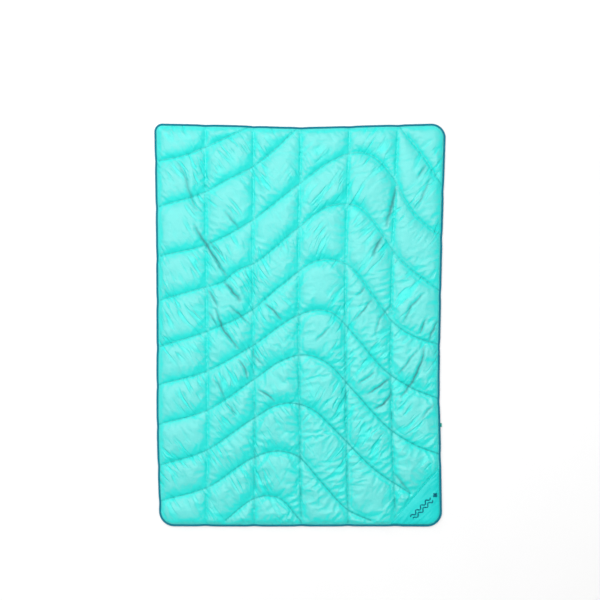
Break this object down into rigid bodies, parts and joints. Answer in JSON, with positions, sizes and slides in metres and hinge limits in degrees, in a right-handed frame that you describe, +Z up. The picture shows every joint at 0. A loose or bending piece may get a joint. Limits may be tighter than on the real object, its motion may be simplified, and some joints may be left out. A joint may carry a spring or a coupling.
{
  "type": "puffy blanket",
  "caption": "Flat puffy blanket, wave-quilted into soft cells, with a folded edge binding, a plain corner patch and a small side tab.",
  "frame": {"origin": "middle of the blanket's box on the surface it rests on", "axes": "+Y along the long side, away from the end that has the corner patch; +X across it, towards the side tab; +Z up, out of the face"},
  "size_m": [0.9171, 1.2691, 0.022],
  "materials": {
    "shell_fabric": "smooth light woven shell with a soft sheen",
    "binding_tape": "matt woven tape",
    "patch_fabric": "smooth woven fabric, flat and unquilted",
    "tab_fabric": "folded woven label"
  },
  "bodies": {
    "root": {"quilt": "shell_fabric", "binding": "binding_tape", "corner_patch": "patch_fabric", "side_tab": "tab_fabric"}
  },
  "joints": []
}
